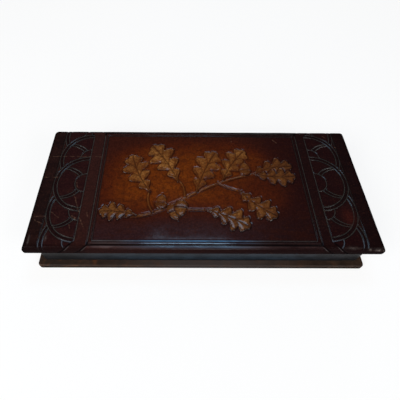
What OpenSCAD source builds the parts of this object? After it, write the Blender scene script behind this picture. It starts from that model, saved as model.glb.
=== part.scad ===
// Long leather-covered stationery box: a shallow tray on a projecting base plate, closed by an
// overhanging lid of the same size that turns on two small butt hinges at the back.
// X runs left to right, Y front to back and Z up. The origin is the middle of the underside.

/* [Box] */
// Height of the closed box
box_h = 52; // [45:1:70]
// Thickness of the leather-covered base plate
plate_h = 5.5; // [5:0.5:8]
// How far the base plate stays inside the lid's outline
plate_inset = 1; // [0:0.5:3]
// How far the walls stand back from the lid's edge
wall_inset = 7; // [6:0.5:10]
// Thickness of the wooden walls
wall_t = 5; // [4.5:0.5:7]

/* [Lid] */
// Width of the lid
lid_w = 330; // [300:1:360]
// Depth of the lid
lid_d = 140; // [130:1:160]
// Thickness of the lid, from the turned-in leather to the top
lid_h = 10; // [9.5:0.5:13]
// Radius of the lid's rounded upper edge
lid_edge_r = 5; // [4:0.5:6.5]
// Plan radius of the lid's corners
lid_corner_r = 4.5; // [3.5:0.5:6]
// Gap between the closed lid and the walls
lid_gap = 0.3; // [0.3:0.1:0.6]

/* [Coverings] */
// Thickness of the leather
leather_t = 0.9; // [0.7:0.1:1.1]
// Thickness of the cloth-covered lining cards
lining_t = 0.8; // [0.6:0.1:1.2]
// Thickness of the paste board behind the tooled leather
backing_t = 2.2; // [1.6:0.1:2.6]
// Extra thickness of the leather on top, out of which the relief is moulded
relief_h = 0.7; // [0.4:0.1:1]

/* [Tooling] */
// Width of a tooled line
line_w = 0.9; // [0.6:0.1:1.4]
// Depth of a tooled line
line_deep = 0.5; // [0.3:0.1:0.6]
// Outer radius of the border rings
ring_r = 32; // [28:0.5:34]
// Distance from one ring to the next
ring_step = 31; // [28:0.5:34]
// Distance of the ring centres from the middle of the lid
ring_x = 119; // [110:1:125]

/* [Hinges] */
// Distance of each hinge from the middle of the box
hinge_x = 92; // [60:1:120]
// Length of a hinge
hinge_len = 30; // [25:1:40]
// Outer radius of the hinge knuckles
knuckle_r = 1.6; // [1.5:0.05:1.8]
// Radius of the hinge pin
pin_r = 0.8; // [0.6:0.05:0.9]

/* [Hidden] */
$fn = 48;
eps = 0.01;
slack = 0.1;

plate_w = lid_w - 2 * plate_inset;
plate_d = lid_d - 2 * plate_inset;
plate_corner_r = 4;
plate_edge_r = 1.5;
felt_t = leather_t;
turn_in = 18;

wall_w = lid_w - 2 * wall_inset;
wall_d = lid_d - 2 * wall_inset;
wall_corner_r = 3;
wood_w = wall_w - 2 * leather_t;
wood_d = wall_d - 2 * leather_t;
wood_corner_r = wall_corner_r - leather_t;
room_w = wood_w - 2 * wall_t;
room_d = wood_d - 2 * wall_t;
lid_z = box_h - lid_h;
wall_top = lid_z - lid_gap;
wood_top = wall_top - leather_t;
floor_t = 1.2;
floor_z = plate_h + floor_t;
lining_top = wood_top - 1;

board_z = lid_z + leather_t;
board_top = box_h - leather_t - relief_h - backing_t;
lid_turn_in = 15.5;
lid_lining_t = 1.7;
lid_lining_w = lid_w - 2 * lid_turn_in;
lid_lining_d = lid_d - 2 * lid_turn_in;

axis_y = wall_d / 2 + knuckle_r + 0.3;
axis_z = lid_z - lid_gap / 2;
leaf_t = leather_t;
leaf_reach = axis_y - wood_d / 2 + wall_t;
leaf_end = knuckle_r + 0.4;
knuckles = 5;
knuckle_gap = 0.2;
knuckle_pitch = hinge_len / knuckles;
pin_bore_r = pin_r + 0.05;
pin_head_r = pin_r + 0.4;
pin_head_t = 0.4;
recess_r = knuckle_r + 0.35;
notch_len = hinge_len + 1.4;

screw_x = 9;
screw_y = -leaf_reach + wall_t / 2;
screw_r = 0.85;
screw_head_r = 1.65;
screw_head_t = 0.8;
screw_len = 6;
screw_lid_len = 4.6;
slot_w = 0.4;
slot_deep = 0.25;

ring_band = 3.7;
eye_r = 10.7;
spoke_x = 19.6;
spoke_r = 17.9;
spoke_band = 2.8;
strap_x = 107.7;
frame_x = 104;
frame_y = lid_d / 2 - 7.5;
edge_line_y = lid_d / 2 - 3.6;
margin_x = ring_x + ring_r;
cut_up = 2;

// Rectangle with round corners, centred on the origin.
module rounded_plan(w, d, r) {
    square([w - 2 * r, d], center = true);
    square([w, d - 2 * r], center = true);
    for (x = [-1, 1], y = [-1, 1])
        translate([x * (w / 2 - r), y * (d / 2 - r)]) circle(r);
}

// Upright section with its two upper corners rounded.
module edge_profile(w, low, high, r) {
    translate([-w / 2, low]) square([w, high - low - r]);
    translate([-w / 2 + r, low]) square([w - 2 * r, high - low]);
    for (x = [-1, 1])
        translate([x * (w / 2 - r), high - r]) circle(r);
}

// Flat slab with round corners in plan and rounded upper edges.
module slab(w, d, low, high, plan_r, edge_r) {
    intersection() {
        translate([0, 0, low]) linear_extrude(high - low) rounded_plan(w, d, plan_r);
        rotate([90, 0, 0]) translate([0, 0, -d / 2]) linear_extrude(d)
            edge_profile(w, low, high, edge_r);
        rotate([90, 0, 90]) translate([0, 0, -w / 2]) linear_extrude(w)
            edge_profile(d, low, high, edge_r);
    }
}

// Box centred in X and Y between two heights.
module block(w, d, low, high) {
    translate([-w / 2, -d / 2, low]) cube([w, d, high - low]);
}

// Places what follows on the hinge axis of both hinges.
module at_hinges() {
    for (side = [-1, 1]) at_hinge(side) children();
}

module at_hinge(side) {
    translate([side * hinge_x, axis_y, axis_z]) children();
}

// Space that the hinge leaf and its knuckles need in one layer of the lid or wall.
module hinge_notch(low, high, reach_back) {
    for (side = [-1, 1])
        translate([side * hinge_x - notch_len / 2, wood_d / 2 - wall_t - slack, low])
            cube([notch_len, reach_back - wood_d / 2 + wall_t + slack, high - low]);
}

// Pilot holes for the leaf screws, downwards in the wall or upwards in the lid board.
module pilot_holes(up, length) {
    at_hinges()
        for (x = [-screw_x, screw_x])
            translate([x, screw_y, up > 0 ? 0 : -length]) cylinder(h = length, r = screw_r + 0.05);
}

module base_board() {
    color("burlywood")
        slab(plate_w - 2 * leather_t, plate_d - 2 * leather_t, felt_t, plate_h - leather_t,
             plate_corner_r - leather_t, plate_edge_r - leather_t);
}

module base_leather() {
    color([0.20, 0.13, 0.10])
        difference() {
            slab(plate_w, plate_d, 0, plate_h, plate_corner_r, plate_edge_r);
            slab(plate_w - 2 * leather_t, plate_d - 2 * leather_t, felt_t, plate_h - leather_t,
                 plate_corner_r - leather_t, plate_edge_r - leather_t);
            block(plate_w - 2 * turn_in, plate_d - 2 * turn_in, -1, felt_t + eps);
        }
}

module underside_felt() {
    color([0.17, 0.15, 0.13])
        block(plate_w - 2 * turn_in, plate_d - 2 * turn_in, 0, felt_t);
}

// The four walls meet in mitres at the corners. A wall of this length faces -Y when turn is 0.
module mitred_wall(length, depth, turn) {
    color("burlywood")
        intersection() {
            translate([0, 0, plate_h]) linear_extrude(wood_top - plate_h)
                rounded_plan(wood_w, wood_d, wood_corner_r);
            rotate([0, 0, turn]) translate([0, 0, plate_h]) linear_extrude(wood_top - plate_h)
                polygon([[-length / 2, -depth / 2], [length / 2, -depth / 2],
                         [length / 2 - wall_t, -depth / 2 + wall_t],
                         [-length / 2 + wall_t, -depth / 2 + wall_t]]);
        }
}

module front_wall() { mitred_wall(wood_w, wood_d, 0); }

module right_wall() { mitred_wall(wood_d, wood_w, 90); }

module left_wall() { mitred_wall(wood_d, wood_w, -90); }

module back_wall() {
    difference() {
        mitred_wall(wood_w, wood_d, 180);
        pilot_holes(-1, screw_len + 0.5);
    }
}

// One strip round the walls, turned over their top edge and glued down as far as the lining.
module wall_leather() {
    color([0.17, 0.16, 0.16])
        difference() {
            translate([0, 0, plate_h]) linear_extrude(wall_top - plate_h)
                rounded_plan(wall_w, wall_d, wall_corner_r);
            translate([0, 0, plate_h - 1]) linear_extrude(wood_top - plate_h + 1)
                rounded_plan(wood_w, wood_d, wood_corner_r);
            block(room_w, room_d, plate_h - 1, wall_top + 1);
            hinge_notch(wood_top, wall_top + 1, wall_d / 2 + 1);
        }
}

module floor_lining() {
    color([0.55, 0.42, 0.25]) block(room_w, room_d, plate_h, floor_z);
}

module front_lining() {
    color([0.60, 0.46, 0.28])
        translate([0, -room_d / 2 + lining_t / 2, 0]) block(room_w, lining_t, floor_z, lining_top);
}

module back_lining() {
    color([0.60, 0.46, 0.28])
        translate([0, room_d / 2 - lining_t / 2, 0]) block(room_w, lining_t, floor_z, lining_top);
}

module left_lining() {
    color([0.60, 0.46, 0.28])
        translate([-room_w / 2 + lining_t / 2, 0, 0])
            block(lining_t, room_d - 2 * lining_t, floor_z, lining_top);
}

module right_lining() {
    color([0.60, 0.46, 0.28])
        translate([room_w / 2 - lining_t / 2, 0, 0])
            block(lining_t, room_d - 2 * lining_t, floor_z, lining_top);
}

// What the leather encloses: the board below and its rounded paste backing above.
module lid_core() {
    slab(lid_w - 2 * leather_t, lid_d - 2 * leather_t, board_z, box_h - leather_t - relief_h,
         lid_corner_r - leather_t, lid_edge_r - leather_t);
}

// Round trough along the hinge axis, in which the knuckles turn.
module knuckle_recess() {
    at_hinges() rotate([0, 90, 0]) cylinder(h = notch_len, r = recess_r, center = true);
}

module lid_board() {
    color("burlywood")
        difference() {
            lid_core();
            block(lid_w, lid_d, board_top, box_h);
            knuckle_recess();
            pilot_holes(1, screw_lid_len + 0.5);
        }
}

module lid_backing() {
    color([0.52, 0.44, 0.33])
        difference() {
            lid_core();
            block(lid_w, lid_d, lid_z, board_top);
        }
}

// A tooled circle of this radius, cut into the top of the lid.
module circle_line(r) {
    translate([0, 0, box_h - line_deep])
        difference() {
            cylinder(h = cut_up, r = r + line_w / 2);
            translate([0, 0, -1]) cylinder(h = cut_up + 2, r = r - line_w / 2);
        }
}

module line_along_y(x, y_reach) {
    translate([x - line_w / 2, -y_reach, box_h - line_deep]) cube([line_w, 2 * y_reach, cut_up]);
}

module line_along_x(y, x_reach) {
    translate([-x_reach, y - line_w / 2, box_h - line_deep]) cube([2 * x_reach, line_w, cut_up]);
}

// One ring of the border: its double rim, its eye, and the two double spokes between them.
module ring_lines() {
    circle_line(ring_r);
    circle_line(ring_r - ring_band);
    circle_line(eye_r);
    intersection() {
        translate([spoke_x, 0, 0]) {
            circle_line(spoke_r);
            circle_line(spoke_r - spoke_band);
        }
        difference() {
            translate([0, 0, lid_z]) cylinder(h = 2 * lid_h, r = ring_r - ring_band);
            translate([0, 0, lid_z - 1]) cylinder(h = 2 * lid_h + 2, r = eye_r);
        }
    }
}

// Rings along the right-hand border. Each one lies under the ring that is nearer the middle.
module ring_border() {
    intersection() {
        for (k = [-2:2])
            difference() {
                translate([0, k * ring_step, 0]) ring_lines();
                if (k != 0)
                    translate([0, (k - sign(k)) * ring_step, lid_z])
                        cylinder(h = 2 * lid_h, r = ring_r);
            }
        translate([0, -lid_d / 2, lid_z]) cube([ring_r, lid_d, 2 * lid_h]);
    }
}

module tooling() {
    for (side = [0, 1])
        mirror([side, 0, 0]) {
            translate([ring_x, 0, 0]) ring_border();
            line_along_y(ring_x, lid_d / 2);
            line_along_y(strap_x, edge_line_y + line_w / 2);
            line_along_y(frame_x, frame_y + line_w / 2);
            line_along_y(margin_x, lid_d / 2);
        }
    for (y = [-1, 1]) {
        line_along_x(y * frame_y, frame_x + line_w / 2);
        line_along_x(y * edge_line_y, strap_x + line_w / 2);
    }
}

module lid_leather() {
    color([0.24, 0.10, 0.06])
        difference() {
            slab(lid_w, lid_d, lid_z, box_h, lid_corner_r, lid_edge_r);
            lid_core();
            block(lid_lining_w, lid_lining_d, lid_z - 1, board_z + eps);
            hinge_notch(lid_z - 1, board_z + eps, axis_y + recess_r);
            knuckle_recess();
            tooling();
        }
}

module lid_lining() {
    color([0.62, 0.48, 0.30])
        block(lid_lining_w - 2 * slack, lid_lining_d - 2 * slack, board_z - lid_lining_t, board_z);
}

// Wall leaf of a hinge about its own axis: a plate on -Y and the knuckles listed in own.
module hinge_leaf(own) {
    difference() {
        union() {
            translate([-hinge_len / 2, -leaf_reach, -lid_gap / 2 - leaf_t])
                cube([hinge_len, leaf_reach - leaf_end, leaf_t]);
            for (k = own) {
                x = -hinge_len / 2 + k * knuckle_pitch + knuckle_gap / 2;
                length = knuckle_pitch - knuckle_gap;
                translate([x, 0, 0]) rotate([0, 90, 0]) cylinder(h = length, r = knuckle_r);
                translate([x, -leaf_end - 0.1, -lid_gap / 2 - leaf_t])
                    cube([length, leaf_end + 0.1 - pin_r, leaf_t]);
            }
        }
        translate([-hinge_len, 0, 0]) rotate([0, 90, 0]) cylinder(h = 2 * hinge_len, r = pin_bore_r);
        for (x = [-screw_x, screw_x])
            translate([x, screw_y, -lid_gap / 2]) screw_seat();
    }
}

// Countersunk hole, open at the leaf's face.
module screw_seat() {
    translate([0, 0, -2 * leaf_t]) cylinder(h = 4 * leaf_t, r = screw_r + 0.1);
    translate([0, 0, -screw_head_t - 0.05])
        cylinder(h = screw_head_t + 0.05, r1 = screw_r + 0.1, r2 = screw_head_r + 0.1);
    translate([0, 0, -eps]) cylinder(h = leaf_t, r = screw_head_r + 0.1);
}

// Countersunk slotted screw, with its head's face at zero and its shank downwards.
module screw(length) {
    difference() {
        union() {
            translate([0, 0, -screw_head_t])
                cylinder(h = screw_head_t, r1 = screw_r, r2 = screw_head_r);
            translate([0, 0, -length]) cylinder(h = length - screw_head_t + eps, r = screw_r);
        }
        translate([-screw_head_r - 1, -slot_w / 2, -slot_deep])
            cube([2 * screw_head_r + 2, slot_w, slot_deep + 1]);
    }
}

module wall_leaf(side) { color("goldenrod") at_hinge(side) hinge_leaf([0, 2, 4]); }

module lid_leaf(side) { color("goldenrod") at_hinge(side) mirror([0, 0, 1]) hinge_leaf([1, 3]); }

module hinge_pin(side) {
    color("darkgoldenrod")
        at_hinge(side)
            rotate([0, 90, 0]) {
                cylinder(h = hinge_len, r = pin_r, center = true);
                for (z = [-1, 1])
                    translate([0, 0, z * (hinge_len / 2 + pin_head_t / 2)])
                        cylinder(h = pin_head_t, r = pin_head_r, center = true);
            }
}

module wall_leaf_screws() {
    color("gold")
        at_hinges()
            for (x = [-screw_x, screw_x])
                translate([x, screw_y, -lid_gap / 2]) screw(screw_len);
}

module lid_leaf_screws() {
    color("gold")
        at_hinges()
            for (x = [-screw_x, screw_x])
                translate([x, screw_y, lid_gap / 2]) mirror([0, 0, 1]) screw(screw_lid_len);
}

base_board();
base_leather();
underside_felt();
front_wall();
back_wall();
left_wall();
right_wall();
wall_leather();
floor_lining();
front_lining();
back_lining();
left_lining();
right_lining();
lid_board();
lid_backing();
lid_leather();
lid_lining();
wall_leaf(-1);  // left_hinge_wall_leaf
lid_leaf(-1);  // left_hinge_lid_leaf
hinge_pin(-1);  // left_hinge_pin
wall_leaf(1);  // right_hinge_wall_leaf
lid_leaf(1);  // right_hinge_lid_leaf
hinge_pin(1);  // right_hinge_pin
wall_leaf_screws();
lid_leaf_screws();
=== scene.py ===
import functools
import math

import bmesh
import bpy
import numpy as np
from mathutils import Euler, Matrix, Vector


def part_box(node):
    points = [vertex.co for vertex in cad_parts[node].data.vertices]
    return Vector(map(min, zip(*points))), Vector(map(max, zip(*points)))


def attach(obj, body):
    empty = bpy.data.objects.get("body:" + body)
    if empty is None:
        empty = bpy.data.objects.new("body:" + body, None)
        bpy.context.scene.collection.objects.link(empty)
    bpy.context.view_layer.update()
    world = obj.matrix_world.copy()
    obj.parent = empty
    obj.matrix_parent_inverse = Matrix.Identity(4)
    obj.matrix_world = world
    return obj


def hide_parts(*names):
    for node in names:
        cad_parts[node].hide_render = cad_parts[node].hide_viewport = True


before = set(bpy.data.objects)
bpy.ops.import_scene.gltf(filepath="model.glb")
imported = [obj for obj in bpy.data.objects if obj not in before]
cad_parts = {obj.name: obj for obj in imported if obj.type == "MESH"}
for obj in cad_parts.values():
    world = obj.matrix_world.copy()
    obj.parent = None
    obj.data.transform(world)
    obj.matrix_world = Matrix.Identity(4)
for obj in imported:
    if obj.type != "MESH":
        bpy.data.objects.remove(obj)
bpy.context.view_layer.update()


# The base plate is a wooden board, sawn and planed flat. The walls are glued on it, and its leather
# and felt hide it on every side.
mm = 0.001


def tint(r, g, b):
    """A colour as it shows on screen, 0 to 255, for a shader socket."""
    return (*(((c / 255 + 0.055) / 1.055) ** 2.4 if c > 10 else c / 3294.6 for c in (r, g, b)), 1)


class Mix:
    """The shader nodes of one finish, or of an effect that several finishes share."""

    def __init__(self, tree):
        self.tree = tree

    def node(self, kind, *feeds, pick=0, **settings):
        """Adds a node and feeds its inputs, in order or by name. Hands back one output."""
        node = self.tree.nodes.new("ShaderNode" + kind)
        for name, value in settings.items():
            setattr(node, name, value)
        named = feeds and isinstance(feeds[0], dict)
        for spot, value in (feeds[0].items() if named else enumerate(feeds)):
            self.feed(node.inputs[spot], value)
        return node.outputs[pick]

    def feed(self, socket, value):
        if isinstance(value, bpy.types.NodeSocket):
            self.tree.links.new(value, socket)
        elif value is not None:
            socket.default_value = value

    def calc(self, operation, *values):
        return self.node("Math", *values, operation=operation)

    def times(self, *values):
        return functools.reduce(lambda first, second: self.calc("MULTIPLY", first, second), values)

    def most(self, *values):
        return functools.reduce(lambda first, second: self.calc("MAXIMUM", first, second), values)

    def least(self, *values):
        return functools.reduce(lambda first, second: self.calc("MINIMUM", first, second), values)

    def times_plus(self, value, factor, more):
        return self.calc("MULTIPLY_ADD", value, factor, more)

    def minus(self, first, second):
        return self.calc("SUBTRACT", first, second)

    def rest(self, share):
        """What a share leaves of the whole."""
        return self.calc("SUBTRACT", 1, share)

    def size_of(self, value):
        return self.calc("ABSOLUTE", value)

    def off(self, value, line):
        """How far a value is from a line, to either side."""
        return self.size_of(self.minus(value, line))

    def past(self, value, line):
        return self.calc("GREATER_THAN", value, line)

    def short_of(self, value, line):
        return self.calc("LESS_THAN", value, line)

    def within(self, value, low, high):
        return self.times(self.past(value, low), self.short_of(value, high))

    def vector(self, operation, first, second=None):
        return self.node("VectorMath", {0: first, 1: second}, operation=operation)

    def scaled(self, vector, factor):
        return self.node("VectorMath", {0: vector, 3: factor}, operation="SCALE")

    def length(self, vector):
        return self.node("VectorMath", vector, operation="LENGTH", pick=1)

    def dot(self, first, second):
        return self.node("VectorMath", first, second, operation="DOT_PRODUCT", pick=1)

    def axes(self, vector):
        """The x, y and z of a vector, each as a value."""
        return tuple(self.node("SeparateXYZ", vector).node.outputs)

    def step(self, value, start, end, low=0.0, high=1.0):
        """Goes softly from low to high as the value passes from start to end."""
        return self.node("MapRange", value, start, end, low, high, interpolation_type="SMOOTHSTEP")

    def blend(self, amount, first, second):
        """Mixes two colours."""
        return self.node("Mix", {0: amount, 6: first, 7: second}, pick=2, data_type="RGBA")

    def dyed(self, colour, *coats):
        """Lays one dye after another over a colour. Each coat is how much of it, and its colour."""
        for amount, dye in coats:
            colour = self.blend(amount, colour, tint(*dye) if isinstance(dye, tuple) else dye)
        return colour

    def cloud(self, place, size, detail=2.0, rough=0.5, warp=0.0):
        """Uneven blotches of about this size in millimetres, from 0 to 1."""
        return self.node("TexNoise", {"Vector": place, "Scale": 1 / size, "Detail": detail,
                                      "Roughness": rough, "Distortion": warp})

    def object_place(self, turn=(0, 0, 0), stretch=(1, 1, 1)):
        """Where a point lies on the object, in millimetres."""
        spot = self.node("TexCoord", pick=3)
        return self.node("Mapping", {"Vector": spot, "Rotation": turn, "Scale": Vector(stretch) * 1000})

    def bump(self, height, depth, under=None):
        """Raises the surface by so many millimetres where height is 1."""
        return self.node("Bump", {"Height": height, "Distance": depth * mm, "Normal": under})

    def effect(self, group, **feeds):
        """Places a shared effect and hands back its outputs."""
        node = self.tree.nodes.new("ShaderNodeGroup")
        node.node_tree = group
        for name, value in feeds.items():
            self.feed(node.inputs[name], value)
        return node.outputs


def start_effect(name, outputs, **inputs):
    """Opens a shared effect: its mix, what it is given, and the sockets for its results."""
    group = bpy.data.node_groups.new(name, "ShaderNodeTree")
    for label, value in inputs.items():
        kind = "NodeSocketVector" if isinstance(value, tuple) else "NodeSocketFloat"
        group.interface.new_socket(label, in_out="INPUT", socket_type=kind).default_value = value
    for label in outputs:
        group.interface.new_socket(label, in_out="OUTPUT", socket_type="NodeSocketFloat")
    given, results = group.nodes.new("NodeGroupInput"), group.nodes.new("NodeGroupOutput")
    return Mix(group), given.outputs, results.inputs


def start_finish(name, **steady):
    """Opens a material: the material, its mix, and its shader's sockets. steady is the same all over."""
    material = bpy.data.materials.new(name)
    material.use_nodes = True
    shader = material.node_tree.nodes["Principled BSDF"].inputs
    for label, value in steady.items():
        shader[label.replace("_", " ")].default_value = value
    return material, Mix(material.node_tree), shader


def paint_node(name, material):
    """Gives a CAD node its finish."""
    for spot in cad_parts[name].material_slots:
        spot.material = material


# Growth rings and pores of plain sawn wood whose grain runs along X.
m, given, results = start_effect("wood_grain", ["Rings", "Pores"], Place=(0, 0, 0))
long_grain = m.vector("MULTIPLY", given["Place"], (0.035, 1, 1))
sway = m.cloud(long_grain, 9, 3)
rings = m.calc("SINE", m.times(sway, 46))
m.feed(results["Rings"], m.times_plus(rings, 0.5, 0.5))
m.feed(results["Pores"], m.step(m.cloud(long_grain, 0.22, 2, 0.6), 0.56, 0.72))
wood_grain = m.tree


def wood_finish(name, early, late, turn=(0, 0, 0)):
    material, m, shader = start_finish(name, Roughness=0.62)
    place = m.object_place(turn)
    grain = m.effect(wood_grain, Place=place)
    colour = m.blend(m.times(grain["Rings"], 0.7), tint(*early), tint(*late))
    colour = m.blend(m.step(m.cloud(place, 14), 0.4, 0.75, 0, 0.35), colour, tint(*late))
    m.feed(shader["Base Color"], m.blend(m.times(grain["Pores"], 0.5), colour, tint(92, 62, 36)))
    m.feed(shader["Roughness"], m.step(grain["Pores"], 0, 1, 0.55, 0.8))
    m.feed(shader["Normal"], m.bump(grain["Pores"], -0.05))
    return material


paint_node("base_board", wood_finish("plate_wood", (190, 152, 108), (158, 116, 74)))


# The plate's leather is one skin, glued over the board and turned in below with mitred corners.
# It is dyed brown and waxed, and has rubbed through to orange-brown in patches.
def start_block(name, low, high):
    """A block between two corners, with its place in its mesh."""
    low, high = Vector(low), Vector(high)
    bpy.ops.object.select_all(action="DESELECT")
    bpy.ops.mesh.primitive_cube_add(size=1, location=(low + high) / 2, scale=high - low)
    bpy.ops.object.transform_apply(location=True, rotation=True, scale=True)
    piece = bpy.context.active_object
    piece.name = piece.data.name = name
    return piece


def pick(kind, test):
    """In edit mode, selects the faces or edges whose middle and direction pass the test."""
    bpy.ops.mesh.select_mode(type="FACE" if kind == "faces" else "EDGE")
    bpy.ops.mesh.select_all(action="DESELECT")
    mesh = bmesh.from_edit_mesh(bpy.context.edit_object.data)
    for item in getattr(mesh, kind):
        ends = [v.co for v in item.verts]
        middle = sum(ends, Vector()) / len(ends)
        item.select_set(bool(test(middle, item.normal if kind == "faces"
                                  else (ends[1] - ends[0]).normalized())))
    bmesh.update_edit_mesh(bpy.context.edit_object.data)


def round_edges(radius, steps, test):
    pick("edges", test)
    bpy.ops.mesh.bevel(offset=radius, segments=steps, affect="EDGES")


def modify(piece, kind, **settings):
    """Adds a modifier and applies it at once."""
    bpy.context.view_layer.objects.active = piece
    modifier = piece.modifiers.new(kind.lower(), kind)
    for name, value in settings.items():
        setattr(modifier, name, value)
    bpy.ops.object.modifier_apply(modifier=modifier.name)


def cut_away(piece, *cutters):
    """Cuts other pieces' shapes out of this one, and clears them away."""
    for cutter in cutters:
        modify(piece, "BOOLEAN", object=cutter, operation="DIFFERENCE", solver="EXACT")
        bpy.data.objects.remove(cutter)
    piece.data.materials.clear()


def smooth(piece, degrees):
    bpy.ops.object.select_all(action="DESELECT")
    piece.select_set(True)
    bpy.context.view_layer.objects.active = piece
    bpy.ops.object.shade_smooth_by_angle(angle=math.radians(degrees))


leather_t = 0.9 * mm
plate_low, plate_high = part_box("base_leather")
felt_low, felt_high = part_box("underside_felt")
base_skin = start_block("base_skin", plate_low, plate_high)
bpy.ops.object.mode_set(mode="EDIT")
round_edges(4 * mm, 8, lambda middle, way: abs(way.z) > 0.9)
round_edges(1.5 * mm, 5, lambda middle, way: middle.z > plate_high.z - 0.1 * mm)
round_edges(0.25 * mm, 2, lambda middle, way: middle.z < plate_low.z + 0.1 * mm)
bpy.ops.object.mode_set(mode="OBJECT")
modify(base_skin, "SOLIDIFY", thickness=leather_t, offset=-1, use_even_offset=True)
cut_away(base_skin, start_block("felt_opening", (felt_low.x, felt_low.y, -1 * mm),
                                (felt_high.x, felt_high.y, leather_t + 0.01 * mm)))
smooth(base_skin, 20)

# The fine cells and creases of calf, for each leather with its own grain size.
m, given, results = start_effect("calf_grain", ["Height", "Crease"], Place=(0, 0, 0), Size=0.6)
per_cell = m.calc("DIVIDE", 1, given["Size"])
spread = m.node("TexNoise", {"Vector": given["Place"], "Scale": m.times(per_cell, 0.4)}, pick=1)
place = m.vector("ADD", given["Place"], m.scaled(spread, m.times(given["Size"], 1.4)))
cells = m.node("TexVoronoi", {"Vector": place, "Scale": per_cell}, feature="DISTANCE_TO_EDGE")
crease = m.step(cells, 0.0, 0.16, 1, 0)
hair = m.node("TexNoise", {"Vector": place, "Scale": m.times(per_cell, 2.5), "Detail": 2})
m.feed(results["Crease"], crease)
m.feed(results["Height"], m.times_plus(crease, -0.7, m.times_plus(hair, 0.3, 0.7)))
calf_grain = m.tree

# Where a corner or edge of a block-shaped piece is rubbed by use, in broken patches.
m, given, results = start_effect(
    "rubbed_edges", ["Rubbed"], Place=(0, 0, 0), Middle=(0, 0, 0), Half=(1, 1, 1), Reach=2.0)
from_middle = m.vector("ABSOLUTE", m.vector("SUBTRACT", given["Place"], given["Middle"]))
deep_x, deep_y, deep_z = m.axes(m.vector("SUBTRACT", given["Half"], from_middle))
nearer, farther = m.least(deep_x, deep_y), m.most(deep_x, deep_y)
from_edge = m.most(nearer, m.least(farther, deep_z))
patchy = m.times_plus(m.cloud(given["Place"], 9, 4, 0.65), 1.6, -0.45)
worn = m.minus(patchy, m.calc("DIVIDE", from_edge, given["Reach"]))
m.feed(results["Rubbed"], m.step(worn, -0.15, 0.4))
rubbed_edges = m.tree


def rubbed_by_use(m, place, low, high, reach):
    middle, half = (low + high) / 2 / mm, (high - low) / 2 / mm
    return m.effect(rubbed_edges, Place=place, Middle=tuple(middle), Half=tuple(half), Reach=reach)["Rubbed"]


# One scratch between two points, broken up along its length.
m, given, results = start_effect("scratch", ["Mark"], Place=(0, 0, 0), From=(0, 0, 0), To=(1, 0, 0), Width=0.5)
wobble = m.vector("SUBTRACT", m.node("TexNoise", {"Vector": given["Place"], "Scale": 0.25}, pick=1),
                  (0.5, 0.5, 0.5))
spot = m.vector("ADD", given["Place"], m.scaled(wobble, 2.2))
along = m.vector("SUBTRACT", given["To"], given["From"])
reach = m.vector("SUBTRACT", spot, given["From"])
share = m.calc("DIVIDE", m.dot(reach, along), m.dot(along, along))
share.node.use_clamp = True
off_line = m.vector("SUBTRACT", reach, m.scaled(along, share))
mark = m.step(m.calc("DIVIDE", m.length(off_line), given["Width"]), 0.35, 1.0, 1, 0)
m.feed(results["Mark"], m.times(mark, m.step(m.cloud(given["Place"], 2.4, 3, 0.7), 0.38, 0.62)))
scratch = m.tree


def scratched(m, place, marks):
    """All the scratches of one piece together. marks gives both ends and the width of each."""
    worst = 0.0
    for start, end, width in marks:
        ends = {"From": (*start, 0)[:3], "To": (*end, 0)[:3]}
        worst = m.most(worst, m.effect(scratch, Place=place, Width=width, **ends)["Mark"])
    return worst


material, m, shader = start_finish("plate_leather", Specular_IOR_Level=0.0, Coat_Roughness=0.35)
place = m.object_place()
x, y, z = m.axes(place)
cloudy = m.cloud(place, 16, 4, 0.6, 0.6)
# painted reflection: a grey sheen across the middle of the plate, most at the front, lighter still on the top
# ledge
painted_sheen = m.times(m.step(m.off(x, 5), 20, 110, 1, 0), m.step(y, 20, -40, 0.3, 0.75))
patches = m.step(m.cloud(m.vector("MULTIPLY", place, (1, 1, 2)), 13, 4, 0.6), 0.5, 0.68)
patches = m.times(patches, m.step(x, -20, -130, 0.15, 0.85))
rubbed = rubbed_by_use(m, place, plate_low, plate_high, 3.0)
marks = scratched(m, place, [((-150, -69, 4), (-139, -69, 2), 0.5), ((-96, -69, 1.5), (-88, -69, 4.5), 0.4),
                             ((-40, -69, 1), (-33, -69, 1.6), 0.4), ((61, -69, 3), (72, -69, 1.5), 0.4),
                             ((128, -69, 4.4), (134, -69, 2.5), 0.5), ((164, 20, 1), (164, 31, 4), 0.5),
                             ((-164, 35, 4), (-164, 22, 2.2), 0.5), ((40, 69, 4), (58, 69, 1.6), 0.5)])
grain = m.effect(calf_grain, Place=place, Size=0.8)
mitre = m.off(m.minus(m.size_of(x), m.size_of(y)), (plate_high.x - plate_high.y) / mm)
mitre = m.times(m.step(mitre, 0.15, 0.5, 1, 0), m.step(z, 0.3, 0.6, 1, 0))
m.feed(shader["Base Color"], m.dyed(
    tint(38, 28, 23),
    (m.step(cloudy, 0.35, 0.7), (56, 41, 32)),
    (painted_sheen, (54, 50, 50)),
    (m.times(m.step(z, 4.6, 5.3, 0, 0.3), painted_sheen), (76, 66, 62)),
    (patches, (82, 50, 30)),
    (m.times(rubbed, m.step(x, 0, -140, 0.1, 0.3)), (98, 66, 44)),
    # painted shade: the plate's sides darker than its top, and darker still towards the bottom
    (m.step(z, 4.2, 5.2, 0.5, 0), (22, 16, 14)),
    (m.step(z, 1.2, 3.6, 0.55, 0), (10, 8, 8)),
    (m.times(marks, 0.55), (112, 80, 56)),
    (m.times(grain["Crease"], 0.4), (16, 10, 9)),
    (m.times(mitre, 0.8), (10, 7, 6))))
m.feed(shader["Roughness"], m.step(cloudy, 0.3, 0.75, 0.38, 0.55))
m.feed(shader["Coat Weight"], m.step(z, 4.2, 5.3, 0.05, 0.25))
rough = m.bump(grain["Height"], 0.06, m.bump(m.cloud(place, 7, 3), 0.35))
m.feed(shader["Normal"], m.bump(mitre, -0.4, rough))
base_skin.data.materials.append(material)
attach(base_skin, "box")
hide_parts("base_leather")


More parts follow.
